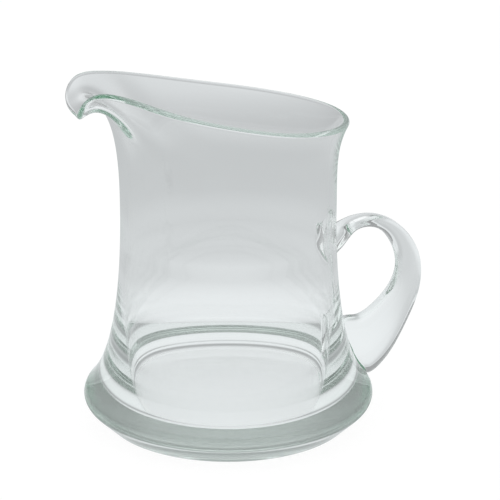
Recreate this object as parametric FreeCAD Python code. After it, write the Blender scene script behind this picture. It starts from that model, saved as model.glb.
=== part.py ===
"""Hand-made glass water jug, one fused piece of clear glass, in millimetres.

A straight-walled body flares into a wide, heavy foot. The rim sweeps up from
the handle to a broad pouring lip that is pulled out and curled over. A thick
strap handle is sealed to the wall at its top and runs down the flare of the
foot. The origin is the centre of the underside, +Z up, the handle towards +X
and the lip towards -X.
"""
import FreeCAD
import Part
import math
import os

from FreeCAD import Vector

# Body wall
body_radius = 60.0
wall = 4.3
crown_base = 127.0

# Foot: flat contact ring, slanted underside, rounded edge and concave flare
foot_spread = 22.35
foot_slant = 12.5
foot_edge_radius = body_radius + foot_spread
foot_ring_radius = foot_edge_radius - foot_slant
recess_radius = 43.0
recess_depth = 0.6
foot_edge_height = 15.0
foot_edge_round = 6.85
flare_angle = 43.5
flare_top = 117.0
flare_pull = 27.9

# Inside of the jug
floor_height = 12.4
corner_radius = 6.5
cavity_bulge = 1.5
cavity_radius = body_radius + cavity_bulge
cavity_flare_top = 97.0
cavity_pull = 34.0

# Rim: a circle in plan that climbs towards the lip
rim_flare = 4.3
rim_radius = body_radius + rim_flare
rim_back_height = 171.9
rim_slope = 0.055
rim_sweep = 0.053
rim_wall = 3.6
rim_lean = 28.0
rim_pull = 15.0
wall_rise = 20.0

# Pouring lip: half of its control points, from the middle to the flank, as shares
# of its reach, half width and rise above the back of the rim, the lean of the wall
# from upright in degrees, and shares of rim_pull and wall_rise
lip_overhang = 27.0
lip_reach = body_radius + lip_overhang
lip_spread = 35.5
lip_rise = 26.0
lip_points = [
    (0.94, 0.0, 0.32, 126.0, 1.27, 2.85),
    (1.0, 0.49, 0.45, 122.0, 1.2, 2.85),
    (0.93, 0.65, 1.0, 40.0, 1.2, 2.25),
    (0.71, 1.02, 0.86, 35.0, 1.07, 1.75),
    (0.48, 1.69, 0.61, 30.0, 1.0, 1.4),
]

# Handle: control points of its centre line as shares of its reach beyond the wall
# and of its height above the foot, with shares of its thickness and width there.
# The first lies inside the wall and the last two inside the flare of the foot.
handle_reach = 50.0
handle_height = 108.7
handle_thickness = 15.5
handle_width = 14.0
handle_points = [
    (-0.03, 0.907, 1.35, 1.43),
    (0.09, 0.912, 0.74, 1.16),
    (0.22, 0.996, 0.40, 0.89),
    (0.60, 1.0, 0.48, 0.95),
    (0.86, 0.894, 0.74, 0.91),
    (1.0, 0.751, 0.92, 0.96),
    (0.955, 0.597, 1.08, 0.99),
    (0.775, 0.466, 1.42, 1.01),
    (0.57, 0.344, 1.97, 1.06),
    (0.365, 0.304, 2.72, 1.08),
    (0.253, 0.282, 2.45, 1.04),
    (0.193, 0.259, 1.55, 0.86),
]
handle_squareness = 3.0
section_columns = 16

# Control columns and fineness of the crown, and the gap closed where it meets the wall
ring_columns = 20
ring_samples = 60
wall_steps = 9
rim_steps = 4
join_gap = 0.001


def foot_profile():
    """Outer edges of foot and flare, from the axis to the top of the flare."""
    round_centre = Vector(foot_edge_radius - foot_edge_round, 0, foot_edge_height)
    ring = Vector(foot_ring_radius, 0, 0)
    reach = round_centre - ring
    bearing = math.atan2(reach.z, reach.x)
    half = math.asin(foot_edge_round / reach.Length)
    start = bearing - half - math.pi / 2
    end = math.radians(flare_angle)

    def on_round(angle):
        return round_centre + Vector(math.cos(angle), 0, math.sin(angle)) * foot_edge_round

    below, middle, above = on_round(start), on_round((start + end) / 2), on_round(end)
    rise = Vector(-math.sin(end), 0, math.cos(end))
    flare = Part.BezierCurve()
    flare.setPoles([above, above + rise * flare_pull, Vector(body_radius, 0, flare_top)])
    recess = [Vector(0, 0, recess_depth), Vector(recess_radius, 0, recess_depth), Vector(recess_radius, 0, 0)]
    return Part.makePolygon(recess + [ring, below]).Edges + [
        Part.Arc(below, middle, above).toShape(),
        flare.toShape(),
    ]


def cavity_profile():
    """Inner edges, from the top of the cavity's flare down to the axis."""
    top = Vector(body_radius - wall, 0, cavity_flare_top)
    bulge = Vector(cavity_radius, 0, floor_height + corner_radius)
    flare = Part.BezierCurve()
    flare.setPoles([top, bulge + Vector(0, 0, cavity_pull), bulge])
    corner_centre = bulge - Vector(corner_radius, 0, 0)
    sag = corner_centre + Vector(1, 0, -1).normalize() * corner_radius
    floor_edge = corner_centre - Vector(0, 0, corner_radius)
    return [
        flare.toShape(),
        Part.Arc(bulge, sag, floor_edge).toShape(),
        Part.LineSegment(floor_edge, Vector(0, 0, floor_height)).toShape(),
    ]


def body():
    """Foot, flare and straight wall, turned in one piece."""
    outer_top = Vector(body_radius, 0, crown_base)
    inner_top = Vector(body_radius - wall, 0, crown_base)
    edges = foot_profile() + [
        Part.LineSegment(Vector(body_radius, 0, flare_top), outer_top).toShape(),
        Part.LineSegment(outer_top, inner_top).toShape(),
        Part.LineSegment(inner_top, Vector(body_radius - wall, 0, cavity_flare_top)).toShape(),
    ] + cavity_profile() + [
        Part.LineSegment(Vector(0, 0, floor_height), Vector(0, 0, recess_depth)).toShape(),
    ]
    face = Part.Face(Part.Wire(Part.__sortEdges__(edges)))
    return face.revolve(Vector(0, 0, 0), Vector(0, 0, 1), 360)


def spread(count):
    """How much wider than its curve a regular ring of control points has to be."""
    return 3 / (2 + math.cos(2 * math.pi / count))


def round_skin(columns):
    """Smooth surface pulled by control columns, closed all the way round."""
    around = list(range(len(columns) + 1))
    along = list(range(len(columns[0]) - 2))
    ends = [4] + [1] * (len(along) - 2) + [4]
    skin = Part.BSplineSurface()
    skin.buildFromPolesMultsKnots(columns, [1] * len(around), ends, around, along, True, False, 3, 3)
    return skin


def crown_columns():
    """Control columns of the wall above crown_base, all the way round."""
    columns = []
    for index in range(ring_columns):
        angle = 2 * math.pi * index / ring_columns
        around = Vector(-math.cos(angle), math.sin(angle), 0)
        nearest = min(index, ring_columns - index)
        if nearest < len(lip_points):
            out, aside, high, lean, pull, rise = lip_points[nearest]
            side = 1 if index == nearest else -1
            rim = Vector(-out * lip_reach, side * aside * lip_spread, rim_back_height + high * lip_rise)
        else:
            rim = around * rim_radius * spread(ring_columns)
            climb = 1 - rim.x / rim_radius
            rim.z = rim_back_height + rim_radius * (rim_slope * climb + rim_sweep * climb * climb)
            lean, pull, rise = rim_lean, 1, 1
        outward = Vector(rim.x, rim.y, 0).normalize()
        tilt = math.radians(lean)
        shoulder = rim - (outward * math.sin(tilt) + Vector(0, 0, math.cos(tilt))) * pull * rim_pull
        foot = around * (body_radius - wall / 2) * spread(ring_columns)
        foot.z = crown_base
        columns.append([foot, foot + Vector(0, 0, rise * wall_rise), shoulder, rim])
    return columns


def crown():
    """Upper wall, rim and pouring lip, lofted through closed rings."""
    middle = round_skin(crown_columns())

    def ring(height, roll):
        """Closed line on the glass: roll turns it over the rim, from inside (0) to outside (pi)."""
        half = (wall + (rim_wall - wall) * height) / 2
        points = []
        for sample in range(ring_samples):
            around = ring_columns * sample / ring_samples
            centre = middle.value(around, height)
            inward = middle.normal(around, height)
            along = (middle.value(around + 0.01, height) - centre).normalize()
            upward = inward.cross(along)
            points.append(centre + (inward * math.cos(roll) + upward * math.sin(roll)) * half)
        curve = Part.BSplineCurve()
        curve.interpolate(Points=points, PeriodicFlag=True)
        return Part.Wire(curve.toShape())

    steps = [step / wall_steps for step in range(wall_steps + 1)]
    rings = [ring(height, math.pi) for height in steps]
    rings += [ring(1, math.pi * (1 - step / rim_steps)) for step in range(1, rim_steps)]
    rings += [ring(height, 0) for height in reversed(steps)]
    skin = Part.makeLoft(rings, False, True)
    base = Part.makeFace([rings[0], rings[-1]], "Part::FaceMakerBullseye")
    return Part.Solid(Part.Shell(skin.Faces + [base]))


def handle():
    """Strap handle: one smooth skin round its centre line, closed by flat ends."""
    centres = [Vector(body_radius + out * handle_reach, 0, up * handle_height)
               for out, up, thickness, width in handle_points]
    onward = [after - before for before, after in
              zip(centres[:1] + centres[:-1], centres[1:] + centres[-1:])]
    aside = Vector(0, 1, 0)
    columns = []
    for corner in range(section_columns):
        angle = 2 * math.pi * corner / section_columns
        reach, side = [math.copysign(abs(part) ** (2 / handle_squareness), part) * spread(section_columns) / 2
                       for part in (math.cos(angle), math.sin(angle))]
        columns.append([
            centre + way.normalize().cross(aside) * reach * thickness * handle_thickness
            + aside * side * width * handle_width
            for centre, way, (out, up, thickness, width) in zip(centres, onward, handle_points)])
    skin = round_skin(columns)
    first, last = skin.bounds()[2:]
    ends = [Part.Face(Part.Wire(skin.vIso(place).toShape())) for place in (first, last)]
    shell = Part.Shell([skin.toShape()] + ends)
    shell.sewShape()
    return Part.Solid(Part.Shell(shell.Faces))


def glass_jug():
    """The whole jug, fused as the glassmaker joins it while it is hot."""
    vessel = body().fuse([crown()], join_gap)
    return vessel.fuse(handle())


os.makedirs("parts", exist_ok=True)
glass_jug().exportStep("parts/glass_jug.step")
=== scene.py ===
"""Glass water jug with a pouring lip and a strap handle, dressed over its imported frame.

The wall, foot and rim are one turned profile, whose upper rows are then drawn
out into the rim and the lip. The handle is a strap drawn along a smooth line,
sealed to the wall and to the flare of the foot. Lengths are in metres, in the
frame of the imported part: +Z up, handle towards +X, lip towards -X.
"""
import math

import bmesh
import bpy
from bpy.props import FloatProperty, FloatVectorProperty, IntProperty, PointerProperty
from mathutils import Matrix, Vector


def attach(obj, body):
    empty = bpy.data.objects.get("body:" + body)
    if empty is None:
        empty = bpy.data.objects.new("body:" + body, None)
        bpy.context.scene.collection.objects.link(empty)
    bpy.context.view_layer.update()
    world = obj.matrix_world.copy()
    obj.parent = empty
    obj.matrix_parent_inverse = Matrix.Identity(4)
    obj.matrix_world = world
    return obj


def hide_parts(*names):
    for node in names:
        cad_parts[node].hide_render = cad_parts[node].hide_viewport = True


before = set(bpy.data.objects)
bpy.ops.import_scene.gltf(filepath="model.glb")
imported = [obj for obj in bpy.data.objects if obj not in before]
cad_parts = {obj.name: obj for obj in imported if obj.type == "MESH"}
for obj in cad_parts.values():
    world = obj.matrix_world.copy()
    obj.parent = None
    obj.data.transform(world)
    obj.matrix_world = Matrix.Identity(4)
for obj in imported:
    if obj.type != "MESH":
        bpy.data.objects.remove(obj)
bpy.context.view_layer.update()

bl_info = {
    "name": "Glass Water Jug",
    "version": (1, 0, 0),
    "blender": (4, 5, 0),
    "location": "3D View > Sidebar > Glass Jug",
    "description": "Builds a hand-made glass water jug with a pouring lip and a strap handle",
    "category": "Add Mesh",
}

# Half of the lip's control points, from its middle to its flank, as shares of its
# reach, half width and rise, the lean of the wall from upright in degrees, and
# shares of the rim's reach and of the wall's upright rise
LIP_POINTS = [
    (0.94, 0.0, 0.32, 126.0, 1.27, 2.85),
    (1.0, 0.49, 0.45, 122.0, 1.2, 2.85),
    (0.93, 0.65, 1.0, 40.0, 1.2, 2.25),
    (0.71, 1.02, 0.86, 35.0, 1.07, 1.75),
    (0.48, 1.69, 0.61, 30.0, 1.0, 1.4),
]
# Control points of the handle's centre line, as shares of its reach beyond the wall
# and of its height, with shares of its thickness and width there
HANDLE_POINTS = [
    (-0.03, 0.907, 1.35, 1.43),
    (0.09, 0.912, 0.74, 1.16),
    (0.22, 0.996, 0.40, 0.89),
    (0.60, 1.0, 0.48, 0.95),
    (0.86, 0.894, 0.74, 0.91),
    (1.0, 0.751, 0.92, 0.96),
    (0.955, 0.597, 1.08, 0.99),
    (0.775, 0.466, 1.42, 1.01),
    (0.57, 0.344, 1.97, 1.06),
    (0.365, 0.304, 2.72, 1.08),
    (0.253, 0.282, 2.45, 1.04),
    (0.193, 0.259, 1.55, 0.86),
]
RIM_COLUMNS = 20
UP = Vector((0, 0, 1))

# Points of the fused mesh that lie closer than this are merged
MERGE_DISTANCE = 5e-5
# The seal is smoothed over this many rings of points beside its seam, in these passes
SEAL_RINGS = 3
SEAL_PASSES = 6

# Heights between which the ground finish of the underside ends, and the sizes of
# its grain and of the ripple as noise scales
GROUND_END = (0.0007, 0.0012)
GRAIN_SCALE = 120.0
RIPPLE_SCALE = 45.0

# Brightness that the glass sees on the table, painted in by distance from the jug's axis in
# metres: a painted shadow under the foot's edge, pale round it, dimmer behind and paler far off
PAINTED_TABLE_LEVELS = [
    (0.0, 0.90), (0.070, 0.88), (0.077, 0.35), (0.090, 0.35), (0.10, 0.88), (0.12, 0.88),
    (0.16, 0.85), (0.20, 0.80), (0.25, 0.66), (0.31, 0.63), (0.37, 0.66), (0.45, 0.56),
    (0.62, 0.55), (0.72, 0.62), (0.82, 0.74), (1.0, 0.78),
]
# Colours of that painted table light and of the backdrop, both faintly bluish greys
PAINTED_TABLE_TINT = (0.98, 1.015, 1.03)
BACKDROP_COLOUR = (0.97, 0.99, 1.0, 1)
# Brightness of the backdrop that the glass sees: before the jug, behind it, and what
# is added overhead
BACKDROP_NEAR = 0.22
BACKDROP_FAR = 0.34
BACKDROP_OVERHEAD = 0.7
# What the camera sees of the table: a share of plain white, and the rest lit
WHITE_SHARE = 0.85
WHITE_STRENGTH = 1.10
TABLE_COLOUR = (0.85, 0.85, 0.85, 1)
# Rim and foot guide light a long way and turn black with fewer bounces
LIGHT_BOUNCES = 128


def length(name, default, description):
    """A size of the jug, in metres."""
    return FloatProperty(name=name, description=description, default=default, min=0.0, unit="LENGTH",
                         precision=4)


class JugWallSettings(bpy.types.PropertyGroup):
    radius: length("Body Radius", 0.060, "Outer radius of the straight wall")
    wall: length("Wall", 0.0043, "Thickness of the wall")
    straight_top: length("Straight Top", 0.127, "Height where the wall starts to open into the rim")
    bulge: length("Bulge", 0.0015, "How much wider than the body the inside gets above the floor")
    flare_top: length("Inner Flare Top", 0.102, "Height where the inside starts to widen downwards")
    flare_pull: length("Inner Flare Pull", 0.028, "Lower tangent of the inner flare")
    corner: length("Corner Radius", 0.0045, "Radius of the inner corner of the floor")
    floor_height: length("Floor Height", 0.0118, "Mean height of the inner floor")
    floor_dish: length("Floor Dish", 0.0009, "How far the middle of the floor lies below its edge")
    turns: IntProperty(name="Turned Steps", description="Steps of a full turn of the wall",
                       default=256, min=64, max=360)


class JugFootSettings(bpy.types.PropertyGroup):
    spread: length("Foot Spread", 0.02235, "How far the foot's edge stands out beyond the body")
    slant: length("Foot Slant", 0.0125, "How far the standing ring lies inside the foot's edge")
    recess_radius: length("Recess Radius", 0.043, "Radius of the shallow hollow under the foot")
    recess_depth: length("Recess Depth", 0.0006, "Depth of the hollow under the foot")
    edge_height: length("Edge Height", 0.015, "Height of the largest radius")
    edge_round: length("Edge Round", 0.00685, "Radius of the rounded edge of the foot")
    flare_angle: FloatProperty(name="Flare Angle", description="Turn of the rounded edge into the flare",
                               default=math.radians(43.5), subtype="ANGLE")
    flare_top: length("Flare Top", 0.117, "Height where the flare meets the straight wall")
    flare_pull: length("Flare Pull", 0.0279, "Lower tangent of the flare")
    edge_soften: length("Softened Edge", 0.0008, "Fire-polished round at the edges of the underside")


class JugRimSettings(bpy.types.PropertyGroup):
    flare: length("Rim Flare", 0.0043, "How far the rim stands out beyond the body, away from the lip")
    wall: length("Rim Wall", 0.0036, "Thickness of the glass at the rim")
    back_height: length("Back Height", 0.1719, "Height of the rim above the handle")
    slope: FloatProperty(name="Rim Slope", description="Climb of the rim towards the lip", default=0.055)
    sweep: FloatProperty(name="Rim Sweep", description="Upward curve of the rim towards the lip",
                         default=0.053)
    lean: FloatProperty(name="Rim Lean", description="Outward lean of the rim, from upright",
                        default=math.radians(28), subtype="ANGLE")
    reach: length("Rim Reach", 0.015, "Reach of the lean below the rim")
    rise: length("Wall Rise", 0.020, "Upright run of the wall before it opens")
    lip_overhang: length("Lip Overhang", 0.027, "How far the lip stands out beyond the body")
    lip_spread: length("Lip Spread", 0.0355, "Half width of the lip's root")
    lip_rise: length("Lip Rise", 0.026, "How far the lip stands above the back of the rim")


class JugHandleSettings(bpy.types.PropertyGroup):
    reach: length("Handle Reach", 0.050, "How far the strap's centre line stands out beyond the body")
    height: length("Handle Height", 0.1087, "Height of the top of the strap's centre line")
    thickness: length("Strap Thickness", 0.0155, "Thickness of the strap, half way down")
    width: length("Strap Width", 0.014, "Width of the strap")
    squareness: FloatProperty(name="Squareness", description="2 is an oval strap, more is squarer",
                              default=3.0, min=2.0, max=6.0)
    stations: IntProperty(name="Stations", description="Sections along the strap",
                          default=110, min=20, max=240)
    sides: IntProperty(name="Sides", description="Points round the strap", default=48, min=16, max=96)


class GlassSettings(bpy.types.PropertyGroup):
    tint: FloatVectorProperty(name="Tint", description="Colour of light that has passed through thick glass",
                              subtype="COLOR", size=3, default=(0.80, 0.93, 0.86), min=0.0, max=1.0)
    density: FloatProperty(name="Density", description="Strength of the tint per metre of glass",
                           default=4.2, min=0.0)
    ior: FloatProperty(name="IOR", description="Index of refraction of soda glass", default=1.51,
                       min=1.0, max=2.0)
    ground: FloatProperty(name="Ground Underside", description="Roughness of the ground underside",
                          default=0.2, min=0.0, max=1.0)
    waviness: FloatProperty(name="Waviness", description="Strength of the hand-made ripple of the surface",
                            default=0.04, min=0.0, max=1.0)


class StageSettings(bpy.types.PropertyGroup):
    light_level: FloatProperty(name="Light Level", description="Brightness of the room's soft light",
                               default=0.85, min=0.0)
    gap: length("Air Gap", 0.0002, "Thin air between the foot and the table")
    distance: length("Camera Distance", 0.955, "Level distance from the jug's axis to the camera")
    height: length("Camera Height", 0.4051, "Height of the camera above the table")
    bearing: FloatProperty(name="Camera Bearing", description="Turn of the camera round the jug",
                           default=math.radians(-17), subtype="ANGLE")
    pitch: FloatProperty(name="Camera Pitch", description="Downward tilt of the camera",
                         default=math.radians(17.85), subtype="ANGLE")
    lens: FloatProperty(name="Lens", description="Focal length in millimetres", default=129.24)
    shift: FloatProperty(name="Shift", description="Sideways shift of the frame", default=0.0434)


def bezier(points, t):
    """Point of a Bezier curve."""
    while len(points) > 1:
        points = [a.lerp(b, t) for a, b in zip(points, points[1:])]
    return points[0]


def arc(centre, radius, start, end, steps):
    """Points of an arc in the plane of the profile, its first point left out."""
    angles = [start + (end - start) * step / steps for step in range(1, steps + 1)]
    return [centre + Vector((math.cos(angle), math.sin(angle))) * radius for angle in angles]


def softened(points, corner, size, steps=8):
    """The profile with its corner at that index rounded over."""
    before, at, after = points[corner - 1], points[corner], points[corner + 1]
    start = at + (before - at).normalized() * size
    end = at + (after - at).normalized() * size
    curve = [bezier([start, at, end], step / steps) for step in range(steps + 1)]
    return points[:corner] + curve + points[corner + 1:]


def outer_profile(walls, foot):
    """Radius and height of the outside, from the axis under the foot to the top of the straight wall."""
    edge_radius = walls.radius + foot.spread
    round_centre = Vector((edge_radius - foot.edge_round, foot.edge_height))
    ring = Vector((edge_radius - foot.slant, 0))
    reach = round_centre - ring
    start = math.atan2(reach.y, reach.x) - math.asin(foot.edge_round / reach.length) - math.pi / 2
    below = round_centre + Vector((math.cos(start), math.sin(start))) * foot.edge_round
    recess = Vector((foot.recess_radius, 0))
    points = [Vector((foot.recess_radius * step / 12, foot.recess_depth * (1 - (step / 12) ** 2)))
              for step in range(13)]
    points += [recess.lerp(ring, step / 6) for step in range(1, 7)]
    ring_edge = len(points) - 1
    points += [ring.lerp(below, step / 4) for step in range(1, 5)]
    points += arc(round_centre, foot.edge_round, start, foot.flare_angle, 28)
    above = points[-1]
    pull = above + Vector((-math.sin(foot.flare_angle), math.cos(foot.flare_angle))) * foot.flare_pull
    top = Vector((walls.radius, foot.flare_top))
    points += [bezier([above, pull, top], step / 44) for step in range(1, 45)]
    points.append(Vector((walls.radius, walls.straight_top)))
    return softened(points, ring_edge, foot.edge_soften)


def inner_profile(walls):
    """Radius and height of the inside, from the top of the straight wall to the axis."""
    radius = walls.radius - walls.wall
    top = Vector((radius, walls.flare_top))
    floor_edge = walls.floor_height + walls.floor_dish / 2
    bulge = Vector((walls.radius + walls.bulge, floor_edge + walls.corner))
    pull = bulge + Vector((0, walls.flare_pull))
    points = [Vector((radius, walls.straight_top)).lerp(top, step / 6) for step in range(7)]
    points += [bezier([top, pull, bulge], step / 32) for step in range(1, 33)]
    points += arc(bulge - Vector((walls.corner, 0)), walls.corner, 0, -math.pi / 2, 20)
    flat = points[-1].x
    for step in range(1, 13):
        share = 1 - step / 12
        points.append(Vector((flat * share, floor_edge - walls.floor_dish * (1 - share ** 2))))
    return points


def rim_columns(walls, rim):
    """Control columns of the wall above the straight wall, all the way round from the lip."""
    step = 2 * math.pi / RIM_COLUMNS
    spread = 3 / (2 + math.cos(step))
    rim_radius = walls.radius + rim.flare
    columns = []
    for index in range(RIM_COLUMNS):
        nearest = min(index, RIM_COLUMNS - index)
        side = 1 if index == nearest else -1
        around = Vector((-math.cos(index * step), math.sin(index * step), 0)) * spread
        if nearest < len(LIP_POINTS):
            out, aside, high, lean, reach, rise = LIP_POINTS[nearest]
            edge = Vector((-out * (walls.radius + rim.lip_overhang), side * aside * rim.lip_spread,
                           rim.back_height + high * rim.lip_rise))
            lean = math.radians(lean)
        else:
            edge = around * rim_radius
            climb = 1 - edge.x / rim_radius
            edge.z = rim.back_height + rim_radius * (rim.slope * climb + rim.sweep * climb ** 2)
            lean, reach, rise = rim.lean, 1, 1
        outward = Vector((edge.x, edge.y, 0)).normalized()
        shoulder = edge - (outward * math.sin(lean) + UP * math.cos(lean)) * reach * rim.reach
        base = around * (walls.radius - walls.wall / 2) + UP * walls.straight_top
        columns.append([base, base + UP * rise * rim.rise, shoulder, edge])
    return columns


def wall_place(columns, angle, height):
    """Middle of the upper wall, with its inward and its upward direction there."""
    place = angle / (2 * math.pi) * len(columns)
    first = math.floor(place)
    t = place - first
    weights = ((1 - t) ** 3 / 6, (3 * t ** 3 - 6 * t ** 2 + 4) / 6,
               (1 + 3 * t + 3 * t ** 2 - 3 * t ** 3) / 6, t ** 3 / 6)
    slopes = (-(1 - t) ** 2 / 2, (3 * t ** 2 - 4 * t) / 2, (1 + 2 * t - 3 * t ** 2) / 2, t ** 2 / 2)
    near = [columns[(first - 1 + k) % len(columns)] for k in range(4)]
    rows = [sum((near[k][row] * weights[k] for k in range(4)), Vector()) for row in range(4)]
    turns = [sum((near[k][row] * slopes[k] for k in range(4)), Vector()) for row in range(4)]
    along = bezier(turns, height).normalized()
    rising = bezier([b - a for a, b in zip(rows, rows[1:])], height)
    inward = along.cross(rising).normalized()
    return bezier(rows, height), inward, inward.cross(along)


def turned_vessel(walls, foot, rim):
    """Closed mesh of the jug without its handle."""
    mesh = bmesh.new()
    height_of = mesh.verts.layers.float.new("height")
    roll_of = mesh.verts.layers.float.new("roll")
    outside = outer_profile(walls, foot)
    inside = inner_profile(walls)
    rows = [(point, -1, 0) for point in outside]
    steps = 40
    rises = [math.sin(math.pi / 2 * step / steps) for step in range(1, steps + 1)]
    rows += [(outside[-1] + Vector((0, rise * rim.rise)), rise, 180) for rise in rises]
    turns = 14
    rows += [(outside[-1] + Vector((-walls.wall * step / turns, 2 * rim.rise)), 1,
              180 - 180 * step / turns) for step in range(1, turns)]
    rows += [(inside[0] + Vector((0, rise * rim.rise)), rise, 0) for rise in reversed(rises)]
    rows += [(point, -1, 0) for point in inside]
    verts = []
    for point, height, roll in rows:
        vert = mesh.verts.new((-point.x, 0, point.y))
        vert[height_of] = height
        vert[roll_of] = roll
        verts.append(vert)
    edges = [mesh.edges.new(pair) for pair in zip(verts, verts[1:])]
    bmesh.ops.spin(mesh, geom=verts + edges, cent=(0, 0, 0), axis=(0, 0, 1), angle=2 * math.pi,
                   steps=walls.turns, use_merge=True)
    bmesh.ops.remove_doubles(mesh, verts=mesh.verts, dist=1e-6)
    columns = rim_columns(walls, rim)
    for vert in mesh.verts:
        height = vert[height_of]
        if height > 0:
            centre, inward, upward = wall_place(columns, math.atan2(vert.co.y, -vert.co.x), height)
            half = (walls.wall + (rim.wall - walls.wall) * height) / 2
            turn = math.radians(vert[roll_of])
            vert.co = centre + (inward * math.cos(turn) + upward * math.sin(turn)) * half
    bmesh.ops.recalc_face_normals(mesh, faces=mesh.faces)
    return mesh


def spline_point(poles, place):
    """Point of a smooth cubic spline that starts and ends at its outer control points."""
    spans = len(poles) - 3
    knots = [0.0] * 3 + [span / spans for span in range(spans + 1)] + [1.0] * 3
    span = min(int(place * spans), spans - 1) + 3
    points = list(poles[span - 3:span + 1])
    for level in range(1, 4):
        for index in range(3, level - 1, -1):
            low = knots[span - 3 + index]
            high = knots[span + 1 + index - level]
            points[index] = points[index - 1].lerp(points[index], (place - low) / (high - low))
    return points[3]


def drawn_handle(walls, strap):
    """Closed mesh of the strap, its ends buried in the wall and in the foot."""
    mesh = bmesh.new()
    centres = [Vector((walls.radius + out * strap.reach, 0, up * strap.height))
               for out, up, thickness, width in HANDLE_POINTS]
    ways = [after - before for before, after in
            zip(centres[:1] + centres[:-1], centres[1:] + centres[-1:])]
    aside = Vector((0, 1, 0))
    ring = bmesh.ops.create_circle(mesh, cap_ends=False, radius=1, segments=strap.sides)["verts"]
    columns = []
    for vert in ring:
        reach, side = [math.copysign(abs(part) ** (2 / strap.squareness), part) / 2
                       for part in vert.co.xy]
        columns.append([
            centre + way.normalized().cross(aside) * reach * thickness * strap.thickness
            + aside * side * width * strap.width
            for centre, way, (out, up, thickness, width) in zip(centres, ways, HANDLE_POINTS)])
    edges = list({edge for vert in ring for edge in vert.link_edges})
    ends = []
    for station in range(strap.stations + 1):
        if station:
            made = bmesh.ops.extrude_edge_only(mesh, edges=edges)["geom"]
            ring = [item for item in made if isinstance(item, bmesh.types.BMVert)]
            edges = [item for item in made if isinstance(item, bmesh.types.BMEdge)]
        for vert, column in zip(ring, columns):
            vert.co = spline_point(column, station / strap.stations)
        if station in (0, strap.stations):
            ends.append(list(edges))
    for end in ends:
        bmesh.ops.contextual_create(mesh, geom=end)
    bmesh.ops.recalc_face_normals(mesh, faces=mesh.faces)
    return mesh


def new_object(name, mesh):
    """A scene object from a finished bmesh."""
    data = bpy.data.meshes.new(name)
    mesh.to_mesh(data)
    mesh.free()
    piece = bpy.data.objects.new(name, data)
    bpy.context.scene.collection.objects.link(piece)
    return piece


def joined(vessel, strap):
    """Fuses the strap to the vessel and lets the glass flow round the seal."""
    fuse = vessel.modifiers.new("Seal", "BOOLEAN")
    fuse.operation = "UNION"
    fuse.solver = "EXACT"
    fuse.object = strap
    bpy.context.view_layer.update()
    fused = bmesh.new()
    fused.from_object(vessel, bpy.context.evaluated_depsgraph_get())
    vessel.modifiers.clear()
    bpy.data.objects.remove(strap)
    # The boolean returns its points in an order that differs from run to run, and
    # that order decides which of them merge, so they are sorted by place first
    for rank, vert in enumerate(sorted(fused.verts, key=lambda vert: vert.co[:])):
        vert.index = rank
    fused.verts.sort()
    bmesh.ops.remove_doubles(fused, verts=fused.verts, dist=MERGE_DISTANCE)
    # A point with only two edges makes both of its faces cut off the same triangle
    bmesh.ops.dissolve_verts(fused, verts=[vert for vert in fused.verts if len(vert.link_edges) == 2])
    seam = {vert for edge in fused.edges
            if len({face.material_index for face in edge.link_faces}) == 2 for vert in edge.verts}
    near = set(seam)
    for ring in range(SEAL_RINGS):
        near |= {edge.other_vert(vert) for vert in near for edge in vert.link_edges}
    for turn in range(SEAL_PASSES):
        bmesh.ops.smooth_vert(fused, verts=list(near), factor=0.5, use_axis_x=True, use_axis_y=True,
                              use_axis_z=True)
    for face in fused.faces:
        face.smooth = True
        face.material_index = 0
    fused.to_mesh(vessel.data)
    fused.free()


class JUG_OT_glass(bpy.types.Operator):
    """Turn the vessel, draw the handle and seal it on"""
    bl_idname = "jug.glass"
    bl_label = "Jug"

    def execute(self, context):
        scene = context.scene
        vessel = new_object("jug_glass", turned_vessel(scene.jug_wall, scene.jug_foot, scene.jug_rim))
        strap = drawn_handle(scene.jug_wall, scene.jug_handle)
        for face in strap.faces:
            face.material_index = 1
        strap = new_object("strap", strap)
        glass = clear_glass(scene.jug_glass)
        for piece in (vessel, strap):
            piece.data.materials.append(glass)
            piece.data.materials.append(glass)
        joined(vessel, strap)
        vessel.data.materials.clear()
        vessel.data.materials.append(glass)
        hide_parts("glass_jug")
        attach(vessel, "root")
        return {"FINISHED"}


def multiplied(nodes, links, first, second):
    """Product of two linked values."""
    node = nodes.new("ShaderNodeMath")
    node.operation = "MULTIPLY"
    links.new(first, node.inputs[0])
    links.new(second, node.inputs[1])
    return node.outputs[0]


def mapped(nodes, links, value, before, after, easing="LINEAR"):
    """A value carried over from one range to another."""
    node = nodes.new("ShaderNodeMapRange")
    node.interpolation_type = easing
    node.inputs["From Min"].default_value, node.inputs["From Max"].default_value = before
    node.inputs["To Min"].default_value, node.inputs["To Max"].default_value = after
    links.new(value, node.inputs["Value"])
    return node.outputs["Result"]


def seen_by_rays(nodes, links, plain, glass, camera):
    """Shader that light, rays in or off the glass, and the camera each see their own way."""
    path = nodes.new("ShaderNodeLightPath")
    through = nodes.new("ShaderNodeMath")
    through.operation = "MAXIMUM"
    links.new(path.outputs["Is Transmission Ray"], through.inputs[0])
    links.new(path.outputs["Is Glossy Ray"], through.inputs[1])
    seen = nodes.new("ShaderNodeMixShader")
    links.new(through.outputs[0], seen.inputs["Fac"])
    links.new(plain.outputs[0], seen.inputs[1])
    links.new(glass.outputs[0], seen.inputs[2])
    mix = nodes.new("ShaderNodeMixShader")
    links.new(path.outputs["Is Camera Ray"], mix.inputs["Fac"])
    links.new(seen.outputs[0], mix.inputs[1])
    links.new(camera.outputs[0], mix.inputs[2])
    return mix.outputs[0]


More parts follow.
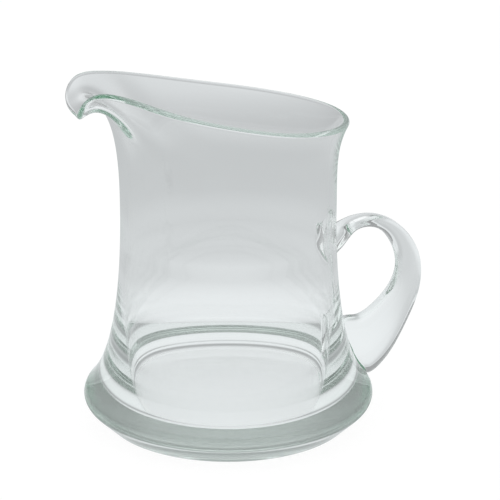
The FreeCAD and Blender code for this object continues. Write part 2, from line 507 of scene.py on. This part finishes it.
def ground_group():
    """Shader group: the underside's ground finish, as a roughness that ends above the standing ring."""
    group = bpy.data.node_groups.new("Ground Underside", "ShaderNodeTree")
    group.interface.new_socket("Roughness", in_out="INPUT", socket_type="NodeSocketFloat")
    group.interface.new_socket("Roughness", in_out="OUTPUT", socket_type="NodeSocketFloat")
    nodes, links = group.nodes, group.links
    inlet = nodes.new("NodeGroupInput")
    outlet = nodes.new("NodeGroupOutput")
    place = nodes.new("ShaderNodeTexCoord")
    split = nodes.new("ShaderNodeSeparateXYZ")
    links.new(place.outputs["Object"], split.inputs["Vector"])
    grain = nodes.new("ShaderNodeTexNoise")
    grain.inputs["Scale"].default_value = GRAIN_SCALE
    links.new(place.outputs["Object"], grain.inputs["Vector"])
    patchy = mapped(nodes, links, grain.outputs["Fac"], (0, 1), (0.8, 1.2))
    below = mapped(nodes, links, split.outputs["Z"], GROUND_END, (1, 0))
    share = multiplied(nodes, links, below, patchy)
    level = multiplied(nodes, links, share, inlet.outputs["Roughness"])
    links.new(level, outlet.inputs["Roughness"])
    return group


def waviness_group():
    """Shader group: the slight ripple that hand-working leaves on glass, as a height."""
    group = bpy.data.node_groups.new("Hand-Made Ripple", "ShaderNodeTree")
    group.interface.new_socket("Scale", in_out="INPUT", socket_type="NodeSocketFloat")
    group.interface.new_socket("Height", in_out="OUTPUT", socket_type="NodeSocketFloat")
    nodes, links = group.nodes, group.links
    inlet = nodes.new("NodeGroupInput")
    outlet = nodes.new("NodeGroupOutput")
    place = nodes.new("ShaderNodeTexCoord")
    stretch = nodes.new("ShaderNodeMapping")
    stretch.inputs["Scale"].default_value = (1.0, 1.0, 0.35)
    ripple = nodes.new("ShaderNodeTexNoise")
    ripple.inputs["Detail"].default_value = 1.0
    links.new(place.outputs["Object"], stretch.inputs["Vector"])
    links.new(stretch.outputs["Vector"], ripple.inputs["Vector"])
    links.new(inlet.outputs["Scale"], ripple.inputs["Scale"])
    links.new(ripple.outputs["Fac"], outlet.inputs["Height"])
    return group


def clear_glass(glass):
    """Clear soda glass, faintly green where it is thick."""
    material = bpy.data.materials.new("clear_glass")
    material.use_nodes = True
    nodes, links = material.node_tree.nodes, material.node_tree.links
    shader = nodes["Principled BSDF"]
    shader.inputs["Base Color"].default_value = (1, 1, 1, 1)
    shader.inputs["IOR"].default_value = glass.ior
    shader.inputs["Transmission Weight"].default_value = 1.0
    ground = nodes.new("ShaderNodeGroup")
    ground.node_tree = ground_group()
    ground.inputs["Roughness"].default_value = glass.ground
    links.new(ground.outputs["Roughness"], shader.inputs["Roughness"])
    ripple = nodes.new("ShaderNodeGroup")
    ripple.node_tree = waviness_group()
    ripple.inputs["Scale"].default_value = RIPPLE_SCALE
    bump = nodes.new("ShaderNodeBump")
    bump.inputs["Strength"].default_value = glass.waviness
    bump.inputs["Distance"].default_value = 0.001
    links.new(ripple.outputs["Height"], bump.inputs["Height"])
    links.new(bump.outputs["Normal"], shader.inputs["Normal"])
    tint = nodes.new("ShaderNodeVolumeAbsorption")
    tint.inputs["Color"].default_value = (*glass.tint, 1)
    tint.inputs["Density"].default_value = glass.density
    links.new(tint.outputs["Volume"], nodes["Material Output"].inputs["Volume"])
    return material


def graded(nodes, links, place, levels):
    """Smooth ramp from a place between 0 and 1 to a level of cool grey painted light."""
    ramp = nodes.new("ShaderNodeValToRGB")
    ramp.color_ramp.interpolation = "B_SPLINE"
    stops = ramp.color_ramp.elements
    for index, (where, level) in enumerate(levels):
        stop = stops[index] if index < 2 else stops.new(where)
        stop.position = where
        stop.color = (level * PAINTED_TABLE_TINT[0], level * PAINTED_TABLE_TINT[1], level * PAINTED_TABLE_TINT[2], 1)
    links.new(place, ramp.inputs["Fac"])
    return ramp.outputs["Color"]


def table_material():
    """White table: plain to the light, painted light with a painted shadow under the foot's edge to the
    glass, white to the camera with the jug's shadow.
    """
    material = bpy.data.materials.new("table")
    material.use_nodes = True
    nodes, links = material.node_tree.nodes, material.node_tree.links
    nodes.clear()
    out = nodes.new("ShaderNodeOutputMaterial")
    matt = nodes.new("ShaderNodeBsdfDiffuse")
    matt.inputs["Color"].default_value = TABLE_COLOUR
    white = nodes.new("ShaderNodeEmission")
    white.inputs["Strength"].default_value = WHITE_STRENGTH
    lit = nodes.new("ShaderNodeMixShader")
    lit.inputs["Fac"].default_value = WHITE_SHARE
    links.new(matt.outputs[0], lit.inputs[1])
    links.new(white.outputs[0], lit.inputs[2])
    place = nodes.new("ShaderNodeTexCoord")
    reach = nodes.new("ShaderNodeVectorMath")
    reach.operation = "LENGTH"
    links.new(place.outputs["Object"], reach.inputs[0])
    # The glass sees the table as painted light graded by distance, with a painted shadow under the foot's
    # edge
    painted_table_light = graded(nodes, links, reach.outputs["Value"], PAINTED_TABLE_LEVELS)
    pale = nodes.new("ShaderNodeEmission")
    links.new(painted_table_light, pale.inputs["Color"])
    links.new(seen_by_rays(nodes, links, matt, pale, lit), out.inputs["Surface"])
    return material


def studio_world(stage):
    """Soft room: white to the camera, even for diffuse light, and with a pale backdrop for the glass."""
    world = bpy.data.worlds.new("studio")
    bpy.context.scene.world = world
    world.use_nodes = True
    nodes, links = world.node_tree.nodes, world.node_tree.links
    nodes.clear()
    out = nodes.new("ShaderNodeOutputWorld")
    room = nodes.new("ShaderNodeBackground")
    room.inputs["Strength"].default_value = stage.light_level
    white = nodes.new("ShaderNodeBackground")
    white.inputs["Strength"].default_value = 1.0
    place = nodes.new("ShaderNodeTexCoord")
    turn = nodes.new("ShaderNodeMapping")
    turn.vector_type = "POINT"
    turn.inputs["Rotation"].default_value = (0, 0, -stage.bearing)
    links.new(place.outputs["Generated"], turn.inputs["Vector"])
    split = nodes.new("ShaderNodeSeparateXYZ")
    links.new(turn.outputs["Vector"], split.inputs["Vector"])
    depth = mapped(nodes, links, split.outputs["Y"], (-0.6, 0.8), (BACKDROP_NEAR, BACKDROP_FAR),
                   "SMOOTHSTEP")
    over = mapped(nodes, links, split.outputs["Z"], (0.5, 0.85), (0, BACKDROP_OVERHEAD), "SMOOTHSTEP")
    total = nodes.new("ShaderNodeMath")
    total.operation = "ADD"
    links.new(depth, total.inputs[0])
    links.new(over, total.inputs[1])
    pale = nodes.new("ShaderNodeBackground")
    pale.inputs["Color"].default_value = BACKDROP_COLOUR
    links.new(total.outputs[0], pale.inputs["Strength"])
    links.new(seen_by_rays(nodes, links, room, pale, white), out.inputs["Surface"])


class JUG_OT_stage(bpy.types.Operator):
    """Lay the table, light the room and place the camera"""
    bl_idname = "jug.stage"
    bl_label = "Table, Light and Camera"

    def execute(self, context):
        stage = context.scene.jug_stage
        mesh = bmesh.new()
        bmesh.ops.create_circle(mesh, cap_ends=True, radius=6.0, segments=64)
        bmesh.ops.translate(mesh, verts=mesh.verts, vec=(0, 0, -stage.gap))
        table = new_object("table", mesh)
        table.data.materials.append(table_material())
        studio_world(stage)
        camera = bpy.data.objects.new("camera", bpy.data.cameras.new("camera"))
        context.scene.collection.objects.link(camera)
        camera.data.sensor_width = 36
        camera.data.lens = stage.lens
        camera.data.shift_x = stage.shift
        camera.data.clip_start = 0.01
        camera.location = (math.sin(stage.bearing) * stage.distance,
                           -math.cos(stage.bearing) * stage.distance, stage.height)
        camera.rotation_euler = (math.pi / 2 - stage.pitch, 0, stage.bearing)
        context.scene.camera = camera
        context.scene.view_settings.view_transform = "Standard"
        context.scene.cycles.max_bounces = LIGHT_BOUNCES
        context.scene.cycles.transmission_bounces = LIGHT_BOUNCES
        context.scene.cycles.glossy_bounces = LIGHT_BOUNCES
        return {"FINISHED"}


class JUG_PT_panel(bpy.types.Panel):
    """Sizes, finish and stage of the jug"""
    bl_idname = "JUG_PT_panel"
    bl_label = "Glass Jug"
    bl_space_type = "VIEW_3D"
    bl_region_type = "UI"
    bl_category = "Glass Jug"

    def draw(self, context):
        layout = self.layout
        for group in SETTINGS:
            box = layout.box()
            box.label(text=group.replace("jug_", "").title())
            settings = getattr(context.scene, group)
            for name in settings.__annotations__:
                box.prop(settings, name)
        layout.operator(JUG_OT_glass.bl_idname)
        layout.operator(JUG_OT_stage.bl_idname)


SETTINGS = {
    "jug_wall": JugWallSettings,
    "jug_foot": JugFootSettings,
    "jug_rim": JugRimSettings,
    "jug_handle": JugHandleSettings,
    "jug_glass": GlassSettings,
    "jug_stage": StageSettings,
}
CLASSES = (*SETTINGS.values(), JUG_OT_glass, JUG_OT_stage, JUG_PT_panel)


def register():
    for item in CLASSES:
        bpy.utils.register_class(item)
    for name, group in SETTINGS.items():
        setattr(bpy.types.Scene, name, PointerProperty(type=group))


def unregister():
    for name in SETTINGS:
        delattr(bpy.types.Scene, name)
    for item in reversed(CLASSES):
        bpy.utils.unregister_class(item)


def main():
    register()
    bpy.ops.jug.glass()
    bpy.ops.jug.stage()


if __name__ == "__main__":
    main()
